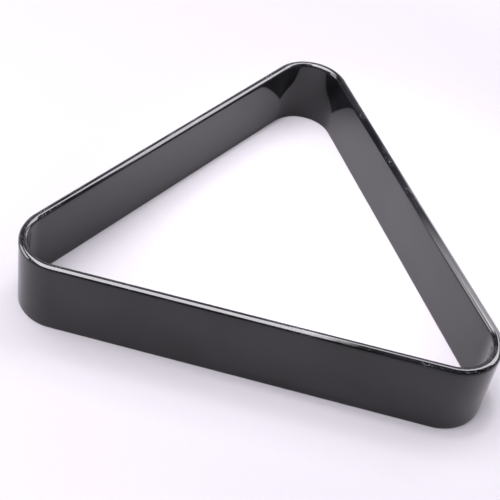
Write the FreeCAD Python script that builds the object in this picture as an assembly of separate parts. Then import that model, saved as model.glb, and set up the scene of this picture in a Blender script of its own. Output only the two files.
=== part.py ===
import FreeCAD, Part
import math
import os

# Triangle rack for fifteen pool balls: one moulded wall that runs round a rounded triangle.
# Frame: origin at the middle of the bounding box on the surface that the rack stands on,
# +X along the long front side, +Y towards the apex, +Z up. Millimetres and degrees.

# Driving dimensions
ball_diameter = 57.15
balls_along_side = 5
ball_clearance = 0.25
inner_corner_radius = 24.0
wall_height = 54.0
rim_thickness = 6.3
outer_draft_angle = 1.2
inner_draft_angle = 2.4
rim_edge_radius = 3.1
foot_edge_radius = 0.3

SIDES = 3
CORNER_TURN = 360.0 / SIDES
APEX_ANGLE = 90.0
EDGE_TOLERANCE = 1e-4
UP = FreeCAD.Vector(0, 0, 1)

# The balls touch the wall at the height of their centres, so the opening is sized there.
ball_radius = ball_diameter / 2
ball_rows_inradius = (balls_along_side - 1) * ball_diameter / (2 * math.sqrt(3))
opening_inradius = ball_rows_inradius + ball_radius + ball_clearance

# The wall follows a triangle through the centres of its three rounded corners.
path_inradius = opening_inradius - inner_corner_radius
path_circumradius = 2 * path_inradius
path_centre = FreeCAD.Vector(0, -(path_circumradius - path_inradius) / 2, 0)

# The mould parts at the foot: its cavity pulls up off the outer face and its core pulls down out of
# the opening. So both faces spread towards the foot, and the wall is thickest at the rim.
outer_slope = math.tan(math.radians(outer_draft_angle))
inner_slope = math.tan(math.radians(inner_draft_angle))
inner_offset_at_rim = inner_corner_radius - (wall_height - ball_radius) * inner_slope
inner_offset_at_foot = inner_corner_radius + ball_radius * inner_slope
outer_offset_at_rim = inner_offset_at_rim + rim_thickness
outer_offset_at_foot = outer_offset_at_rim + wall_height * outer_slope


def flat_direction(angle):
    """Unit vector in the horizontal plane at this angle from +X."""
    return FreeCAD.Vector(math.cos(math.radians(angle)), math.sin(math.radians(angle)), 0)


def corner_centre(angle):
    """Centre of the rounded corner that lies at this angle from the middle of the triangle."""
    return path_centre + flat_direction(angle) * path_circumradius


def wall_section(centre, angle):
    """The wall's upright section, standing outwards from a corner centre at this angle."""
    outward = flat_direction(angle)
    outline = (
        (inner_offset_at_foot, 0),
        (outer_offset_at_foot, 0),
        (outer_offset_at_rim, wall_height),
        (inner_offset_at_rim, wall_height),
    )
    points = [centre + outward * offset + UP * height for offset, height in outline]
    return Part.Face(Part.makePolygon(points + points[:1]))


def corner_and_side(angle):
    """The rounded corner at this angle, and the straight side that leads on to the next one."""
    centre = corner_centre(angle)
    next_centre = corner_centre(angle + CORNER_TURN)
    corner = wall_section(centre, angle - CORNER_TURN / 2).revolve(centre, UP, CORNER_TURN)
    side = wall_section(centre, angle + CORNER_TURN / 2).extrude(next_centre - centre)
    return [corner, side]


def edges_at(shape, height):
    """The edges of a shape that lie wholly in the level plane at this height."""
    found = []
    for edge in shape.Edges:
        box = edge.BoundBox
        if abs(box.ZMin - height) < EDGE_TOLERANCE and abs(box.ZMax - height) < EDGE_TOLERANCE:
            found.append(edge)
    return found


def make_rack_frame():
    """The whole moulding: a drafted triangular wall with a fully rounded rim and a crisp foot."""
    pieces = []
    for turn in range(SIDES):
        pieces += corner_and_side(APEX_ANGLE + turn * CORNER_TURN)
    frame = pieces[0].multiFuse(pieces[1:]).removeSplitter().Solids[0]
    frame = frame.makeFillet(rim_edge_radius, edges_at(frame, wall_height))
    return frame.makeFillet(foot_edge_radius, edges_at(frame, 0))


os.makedirs("parts", exist_ok=True)
rack_frame = make_rack_frame()
rack_frame.exportStep("parts/rack_frame.step")
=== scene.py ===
import math

import bpy
from mathutils import Matrix, Vector, noise


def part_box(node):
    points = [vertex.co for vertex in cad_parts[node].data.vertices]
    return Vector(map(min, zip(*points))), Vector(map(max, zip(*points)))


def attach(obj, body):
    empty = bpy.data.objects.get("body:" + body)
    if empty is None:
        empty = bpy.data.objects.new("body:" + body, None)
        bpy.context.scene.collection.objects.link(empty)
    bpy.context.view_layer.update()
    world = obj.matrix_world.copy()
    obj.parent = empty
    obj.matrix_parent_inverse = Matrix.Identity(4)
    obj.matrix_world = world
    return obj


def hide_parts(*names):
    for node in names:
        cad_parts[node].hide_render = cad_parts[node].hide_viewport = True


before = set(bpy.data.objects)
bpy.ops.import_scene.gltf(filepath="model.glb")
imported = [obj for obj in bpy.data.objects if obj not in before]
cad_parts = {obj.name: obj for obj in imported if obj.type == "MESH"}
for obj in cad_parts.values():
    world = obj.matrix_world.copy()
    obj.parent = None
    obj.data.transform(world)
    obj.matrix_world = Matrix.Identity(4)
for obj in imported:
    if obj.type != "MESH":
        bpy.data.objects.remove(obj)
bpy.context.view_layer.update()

# The rack stands on the floor with its apex towards +Y. Metres and degrees.
CAD_NODE = "rack_frame"
BODY = "root"

# Wall section, as distances outwards from the triangle through the three corner centres
RIM_INNER_OFFSET = 0.022934
RIM_OUTER_OFFSET = 0.029234
FOOT_INNER_OFFSET = 0.025198
FOOT_OUTER_OFFSET = 0.030365
RIM_EDGE_RADIUS = 0.0031
FOOT_EDGE_RADIUS = 0.0003
SIDES = 3
CORNER_TURN = 360.0 / SIDES
APEX_ANGLE = 90.0
INRADII_FROM_SIDE_TO_CORNER = 3

# How many steps each part of the wall is divided into
RIM_ARC_STEPS = 20
FOOT_ARC_STEPS = 5
RIM_FLAT_STEPS = 1
FOOT_FLAT_STEPS = 4
WALL_FACE_STEPS = 16
CORNER_STEPS = 80
SIDE_STEPS = 72

# The slow unevenness that a moulded wall has
RIPPLE_HEIGHT = 0.00003
RIPPLE_LENGTH = 0.035

# Plastic: sizes in metres. A pair of cuts is where noise begins to show and where it shows in full.
FLOW_SIZE = 0.045
FLOW_CUTS = (0.35, 0.65)
SMUDGE_SIZE = 0.014
SMUDGE_CUTS = (0.45, 0.7)
PEEL_SIZE = 0.0016
PEEL_HEIGHT = 0.000002
SCRATCH_LENGTH = 0.03
SCRATCH_WIDTH = 0.00022
SCRATCH_DEPTH = 0.000004
SCRATCH_CUTS = (0.66, 0.74)
SCUFF_SIZE = 0.0009
SCUFF_CUTS = (0.54, 0.64)
SCUFF_PATCH_SIZE = 0.02
SCUFF_PATCH_CUTS = (0.5, 0.68)

# Where wear shows: down from the rim, up from the foot, and out from the middle of the opening
RIM_WEAR_START = 0.0022
RIM_WEAR_FULL = RIM_WEAR_START / 3
FOOT_WEAR_HEIGHT = 0.004
CORNER_WEAR_START = 0.145
CORNER_WEAR_END = 0.205

# Roughness where the plastic is clean, and what smudges, scratches and scuffs bring it to or add
CLEAN_ROUGHNESS = 0.075
SMUDGED_ROUGHNESS = 0.13
SCRATCH_ROUGHNESS = 0.07
SCUFF_ROUGHNESS = 0.25

# How much finer structure noise has
PLAIN, USUAL, FINER, FINEST = 1.0, 2.0, 3.0, 4.0

# Colours of the plastic where it is darkest, palest and scuffed
BLACK = (0.0009, 0.0009, 0.0011, 1)
BLACK_PALER = (0.0048, 0.0046, 0.0057, 1)
SCUFFED = (0.045, 0.044, 0.048, 1)
PLASTIC_IOR = 1.47

# Camera, aimed at a point in the plane of the rim. The shift is in picture widths.
CAMERA_AZIMUTH = 9.04
CAMERA_ELEVATION = 42.12
CAMERA_ROLL = 7.32
CAMERA_DISTANCE = 0.7235
CAMERA_AIM = Vector((-0.0653, -0.0162, 0.054))
CAMERA_LENS = 76.41
CAMERA_SENSOR = 36.0
CAMERA_SHIFT = (0.123, -0.168)
CAMERA_NEAR = 0.01

# Floor: the glow grows between two distances from the middle of the rack
FLOOR_SIZE = 12.0
PAPER = (0.187, 0.181, 0.192, 1)
PAPER_SHADED = (0.181, 0.175, 0.186, 1)
PAPER_FIBRE_SIZE = 0.004
PAPER_ROUGHNESS = 0.9
PAPER_SHEEN = 0.2
FLOOR_GLOW_START = 0.3
FLOOR_GLOW_END = 1.0
FLOOR_GLOW = 0.85
FLOOR_GLOW_TINT = (0.99, 0.965, 1.0, 1)

# Room: it darkens between two rises above the horizon, as sines of the angle
ROOM_TINT = (0.9, 0.92, 1.0, 1)
HORIZON_STRENGTH = 0.95
HORIZON_RISE = 0.05
ROOM_STRENGTH = 0.11
ROOM_RISE = 0.2

STUDIO_TINT = (0.98, 0.955, 1.0)
TOP_LIGHT_RADIUS = 0.06
DOWN = Vector((0, 0, -1))
TO_RIGHT = Vector((1, 0, 0))
TO_FRONT = Vector((0, -1, 0))
TO_RACK = Vector((-0.55, -0.78, -0.3))

# The path is an equilateral triangle, so its circumradius is twice its inradius. The origin is
# halfway from its front side to its apex, which is half an inradius beyond its middle.
low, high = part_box(CAD_NODE)
height = high.z
path_inradius = (high.y - low.y - 2 * FOOT_OUTER_OFFSET) / INRADII_FROM_SIDE_TO_CORNER
path_circumradius = 2 * path_inradius
path_middle = Vector((0, -path_inradius / 2, 0))


def flat_direction(angle):
    """Unit vector in the horizontal plane at this angle from +X."""
    return Vector((math.cos(math.radians(angle)), math.sin(math.radians(angle)), 0))


def direction_to(azimuth, elevation):
    """Unit vector from the rack towards a viewer at this azimuth and elevation."""
    side, rise = math.radians(azimuth), math.radians(elevation)
    return Vector((math.sin(side) * math.cos(rise), -math.cos(side) * math.cos(rise), math.sin(rise)))


def rounded_corner(before, corner, after, radius, steps):
    """Points of the arc that rounds one corner of an outline."""
    to_before = (before - corner).normalized()
    to_after = (after - corner).normalized()
    half_angle = to_before.angle(to_after) / 2
    reach = radius / math.tan(half_angle)
    start, end = corner + to_before * reach, corner + to_after * reach
    centre = corner + (to_before + to_after).normalized() * radius / math.sin(half_angle)
    first, last = start - centre, end - centre
    turn = first.angle(last)
    points = []
    for step in range(steps + 1):
        share = step / steps
        weight_first = math.sin((1 - share) * turn) / math.sin(turn)
        weight_last = math.sin(share * turn) / math.sin(turn)
        points.append(centre + first * weight_first + last * weight_last)
    return points


def wall_outline():
    """The wall's closed section as (offset, height) points, with rounded edges and divided faces."""
    corners = [
        Vector((FOOT_INNER_OFFSET, 0)),
        Vector((FOOT_OUTER_OFFSET, 0)),
        Vector((RIM_OUTER_OFFSET, height)),
        Vector((RIM_INNER_OFFSET, height)),
    ]
    radii = [FOOT_EDGE_RADIUS, FOOT_EDGE_RADIUS, RIM_EDGE_RADIUS, RIM_EDGE_RADIUS]
    arc_steps = [FOOT_ARC_STEPS, FOOT_ARC_STEPS, RIM_ARC_STEPS, RIM_ARC_STEPS]
    face_steps = [FOOT_FLAT_STEPS, WALL_FACE_STEPS, RIM_FLAT_STEPS, WALL_FACE_STEPS]
    arcs = []
    for index, corner in enumerate(corners):
        before, after = corners[index - 1], corners[(index + 1) % len(corners)]
        arcs.append(rounded_corner(before, corner, after, radii[index], arc_steps[index]))
    outline = []
    for index, arc in enumerate(arcs):
        outline += arc
        start, end = arc[-1], arcs[(index + 1) % len(arcs)][0]
        steps = face_steps[index]
        outline += [start.lerp(end, step / steps) for step in range(1, steps)]
    return outline


def wall_stations():
    """(centre, outward direction) at each place along the wall, once round the triangle."""
    stations = []
    for turn in range(SIDES):
        angle = APEX_ANGLE + turn * CORNER_TURN
        centre = path_middle + flat_direction(angle) * path_circumradius
        next_centre = path_middle + flat_direction(angle + CORNER_TURN) * path_circumradius
        for step in range(CORNER_STEPS):
            share = step / CORNER_STEPS - 0.5
            stations.append((centre, flat_direction(angle + share * CORNER_TURN)))
        outward = flat_direction(angle + CORNER_TURN / 2)
        for step in range(SIDE_STEPS):
            stations.append((centre.lerp(next_centre, step / SIDE_STEPS), outward))
    return stations


def ripple(point):
    """How far the wall stands out of true at a point, fading to nothing at the foot and rim."""
    fade = math.sin(math.pi * min(max(point.z / height, 0), 1))
    return RIPPLE_HEIGHT * fade * noise.noise(point / RIPPLE_LENGTH)


def make_moulding():
    """The rack's finely divided mesh: the wall's section carried once round the path."""
    outline, stations = wall_outline(), wall_stations()
    vertices = []
    for centre, outward in stations:
        for offset, level in outline:
            point = centre + outward * offset + Vector((0, 0, level))
            vertices.append(point + outward * ripple(point))
    ring, rounds = len(outline), len(stations)
    faces = []
    for place in range(rounds):
        here, there = place * ring, (place + 1) % rounds * ring
        for index in range(ring):
            beside = (index + 1) % ring
            faces.append((here + index, there + index, there + beside, here + beside))
    mesh = bpy.data.meshes.new("rack_moulding")
    mesh.from_pydata([tuple(point) for point in vertices], [], faces)
    mesh.update()
    mesh.shade_smooth()
    piece = bpy.data.objects.new("rack_moulding", mesh)
    bpy.context.scene.collection.objects.link(piece)
    return piece


def new_material(name):
    """A new material, with its node tree and its shader."""
    material = bpy.data.materials.new(name)
    material.use_nodes = True
    tree = material.node_tree
    return material, tree, tree.nodes["Principled BSDF"]


def add_node(tree, kind, inputs, **settings):
    """Add a node. Inputs are values, or the output sockets that feed them."""
    made = tree.nodes.new(kind)
    for name, value in settings.items():
        setattr(made, name, value)
    for name, value in inputs.items():
        if isinstance(value, bpy.types.NodeSocket):
            tree.links.new(value, made.inputs[name])
        else:
            made.inputs[name].default_value = value
    return made


def noise_of_size(tree, where, size, detail=USUAL):
    """Smooth noise whose features are about this many metres across."""
    inputs = {"Vector": where, "Scale": 1 / size, "Detail": detail}
    return add_node(tree, "ShaderNodeTexNoise", inputs).outputs["Fac"]


def eased(tree, value, start, end, low=0.0, high=1.0):
    """A value eased from low at start to high at end."""
    inputs = {"Value": value, "From Min": start, "From Max": end, "To Min": low, "To Max": high}
    made = add_node(tree, "ShaderNodeMapRange", inputs, interpolation_type="SMOOTHSTEP")
    return made.outputs["Result"]


def combine(tree, operation, first, second):
    """Two values put together by a maths operation."""
    made = tree.nodes.new("ShaderNodeMath")
    made.operation = operation
    for socket, value in zip(made.inputs, (first, second)):
        if isinstance(value, bpy.types.NodeSocket):
            tree.links.new(value, socket)
        else:
            socket.default_value = value
    return made.outputs["Value"]


def blend_colour(tree, share, first, second):
    """A colour between two others."""
    inputs = {"Fac": share, "Color1": first, "Color2": second}
    return add_node(tree, "ShaderNodeMixRGB", inputs).outputs["Color"]


def scratches(tree, where):
    """Fine level scratches, as 0 to 1."""
    stretch = (1 / SCRATCH_LENGTH, 1 / SCRATCH_LENGTH, 1 / SCRATCH_WIDTH)
    drawn_out = add_node(tree, "ShaderNodeMapping", {"Vector": where, "Scale": stretch})
    lines = noise_of_size(tree, drawn_out.outputs["Vector"], 1.0, PLAIN)
    return eased(tree, lines, *SCRATCH_CUTS)


def edge_scuffs(tree, where, level):
    """Speckled wear along the rim and the foot, in patches and at the corners, as 0 to 1."""
    on_rim = eased(tree, level, height - RIM_WEAR_START, height - RIM_WEAR_FULL)
    on_foot = eased(tree, level, FOOT_WEAR_HEIGHT, 0.0)
    worn_edge = combine(tree, "MAXIMUM", on_rim, on_foot)
    from_middle = add_node(tree, "ShaderNodeVectorMath", {}, operation="DISTANCE")
    tree.links.new(where, from_middle.inputs[0])
    from_middle.inputs[1].default_value = path_middle
    at_corners = eased(tree, from_middle.outputs["Value"], CORNER_WEAR_START, CORNER_WEAR_END)
    here_and_there = eased(tree, noise_of_size(tree, where, SCUFF_PATCH_SIZE), *SCUFF_PATCH_CUTS)
    patches = combine(tree, "MAXIMUM", here_and_there, at_corners)
    speckle = eased(tree, noise_of_size(tree, where, SCUFF_SIZE, FINER), *SCUFF_CUTS)
    return combine(tree, "MULTIPLY", combine(tree, "MULTIPLY", worn_edge, patches), speckle)


def make_plastic():
    """Black plastic, glossy from the mould, with smudges, hairline scratches and worn edges."""
    material, tree, shader = new_material("gloss_black_plastic")
    where = add_node(tree, "ShaderNodeTexCoord", {}).outputs["Object"]
    level = add_node(tree, "ShaderNodeSeparateXYZ", {"Vector": where}).outputs["Z"]
    flow = eased(tree, noise_of_size(tree, where, FLOW_SIZE, FINER), *FLOW_CUTS)
    smudges = eased(tree, noise_of_size(tree, where, SMUDGE_SIZE, FINEST), *SMUDGE_CUTS)
    lines, scuffs = scratches(tree, where), edge_scuffs(tree, where, level)

    moulded = blend_colour(tree, flow, BLACK, BLACK_PALER)
    tree.links.new(blend_colour(tree, scuffs, moulded, SCUFFED), shader.inputs["Base Color"])

    polish = eased(tree, smudges, 0.0, 1.0, CLEAN_ROUGHNESS, SMUDGED_ROUGHNESS)
    scratched = combine(tree, "ADD", polish, combine(tree, "MULTIPLY", lines, SCRATCH_ROUGHNESS))
    roughness = combine(tree, "ADD", scratched, combine(tree, "MULTIPLY", scuffs, SCUFF_ROUGHNESS))
    tree.links.new(roughness, shader.inputs["Roughness"])

    peel = noise_of_size(tree, where, PEEL_SIZE, PLAIN)
    skin = add_node(tree, "ShaderNodeBump", {"Height": peel, "Distance": PEEL_HEIGHT})
    marks = combine(tree, "MAXIMUM", lines, scuffs)
    cut_inputs = {"Height": marks, "Distance": SCRATCH_DEPTH, "Normal": skin.outputs["Normal"]}
    cut = add_node(tree, "ShaderNodeBump", cut_inputs, invert=True)
    tree.links.new(cut.outputs["Normal"], shader.inputs["Normal"])
    shader.inputs["IOR"].default_value = PLASTIC_IOR
    return material


def make_floor():
    """A level surface for the rack to stand on, which gives off light away from it and so stays pale."""
    bpy.ops.mesh.primitive_plane_add(size=FLOOR_SIZE)
    floor = bpy.context.object
    floor.name = "studio_floor"
    material, tree, shader = new_material("studio_paper")
    where = add_node(tree, "ShaderNodeTexCoord", {}).outputs["Object"]
    fibres = noise_of_size(tree, where, PAPER_FIBRE_SIZE, FINEST)
    tree.links.new(blend_colour(tree, fibres, PAPER, PAPER_SHADED), shader.inputs["Base Color"])
    shader.inputs["Roughness"].default_value = PAPER_ROUGHNESS
    shader.inputs["Specular IOR Level"].default_value = PAPER_SHEEN
    away = add_node(tree, "ShaderNodeVectorMath", {"Vector": where}, operation="LENGTH")
    glow = eased(tree, away.outputs["Value"], FLOOR_GLOW_START, FLOOR_GLOW_END, 0.0, FLOOR_GLOW)
    tree.links.new(glow, shader.inputs["Emission Strength"])
    shader.inputs["Emission Color"].default_value = FLOOR_GLOW_TINT
    floor.data.materials.append(material)


def make_camera():
    """The camera, looking down on the rack from in front and a little to the right of it."""
    data = bpy.data.cameras.new("camera")
    data.sensor_width = CAMERA_SENSOR
    data.lens = CAMERA_LENS
    data.shift_x, data.shift_y = CAMERA_SHIFT
    data.clip_start = CAMERA_NEAR
    camera = bpy.data.objects.new("camera", data)
    bpy.context.scene.collection.objects.link(camera)
    back = direction_to(CAMERA_AZIMUTH, CAMERA_ELEVATION)
    camera.location = CAMERA_AIM + back * CAMERA_DISTANCE
    upright = (-back).to_track_quat("-Z", "Y").to_matrix()
    roll = Matrix.Rotation(math.radians(CAMERA_ROLL), 3, "Z")
    camera.rotation_euler = (upright @ roll).to_euler()
    bpy.context.scene.camera = camera


def add_light(data, place, facing):
    """Put a light into the scene at this place, shining in this direction."""
    data.color = STUDIO_TINT
    light = bpy.data.objects.new(data.name, data)
    bpy.context.scene.collection.objects.link(light)
    light.location = place
    light.rotation_euler = facing.to_track_quat("-Z", "Y").to_euler()
    return light


def make_softbox(name, centre, width, depth, brightness, facing):
    """A rectangular soft light. Brightness is its radiance, so a larger one gives more light."""
    data = bpy.data.lights.new(name, "AREA")
    data.shape = "RECTANGLE"
    data.size, data.size_y = width, depth
    data.energy = brightness * math.pi * width * depth
    add_light(data, centre, facing).visible_camera = False


def make_top_light(place, target, power, half_angle):
    """A soft-edged spot above the rack, which lights the floor inside it and shows in no reflection."""
    data = bpy.data.lights.new("top_light", "SPOT")
    data.energy = power
    data.spot_size = 2 * math.radians(half_angle)
    data.spot_blend = 1.0
    data.shadow_soft_size = TOP_LIGHT_RADIUS
    add_light(data, place, target - place).visible_glossy = False


def make_world():
    """A dim room with pale surroundings low down."""
    world = bpy.data.worlds.new("studio")
    world.use_nodes = True
    tree = world.node_tree
    background = tree.nodes["Background"]
    background.inputs["Color"].default_value = ROOM_TINT
    direction = add_node(tree, "ShaderNodeTexCoord", {}).outputs["Generated"]
    rise = add_node(tree, "ShaderNodeSeparateXYZ", {"Vector": direction}).outputs["Z"]
    strength = eased(tree, rise, HORIZON_RISE, ROOM_RISE, HORIZON_STRENGTH, ROOM_STRENGTH)
    tree.links.new(strength, background.inputs["Strength"])
    bpy.context.scene.world = world


moulding = make_moulding()
moulding.data.materials.append(make_plastic())
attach(moulding, BODY)
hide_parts(CAD_NODE)
make_floor()
make_camera()
make_world()
make_softbox(
    "overhead_left", centre=(-0.465, -0.285, 1.2), width=1.17, depth=1.53, brightness=17, facing=DOWN
)
make_softbox(
    "overhead_back_right", centre=(1.15, 0.6, 1.15), width=2.2, depth=0.65, brightness=13, facing=DOWN
)
make_softbox(
    "low_back_right", centre=(0.87, 1.2, 0.6), width=0.75, depth=0.56, brightness=6.5, facing=TO_RACK
)
make_softbox("window_left", centre=(-1.4, -0.25, 0.45), width=0.77, depth=0.8, brightness=9, facing=TO_RIGHT)
make_softbox("backdrop_glow", centre=(0, 2.2, 1.1), width=4, depth=2.2, brightness=0.7, facing=TO_FRONT)
make_top_light(Vector((-0.05, 0.02, 1.1)), target=Vector((0.065, 0.02, 0)), power=120, half_angle=10)
bpy.context.scene.view_settings.view_transform = "Standard"
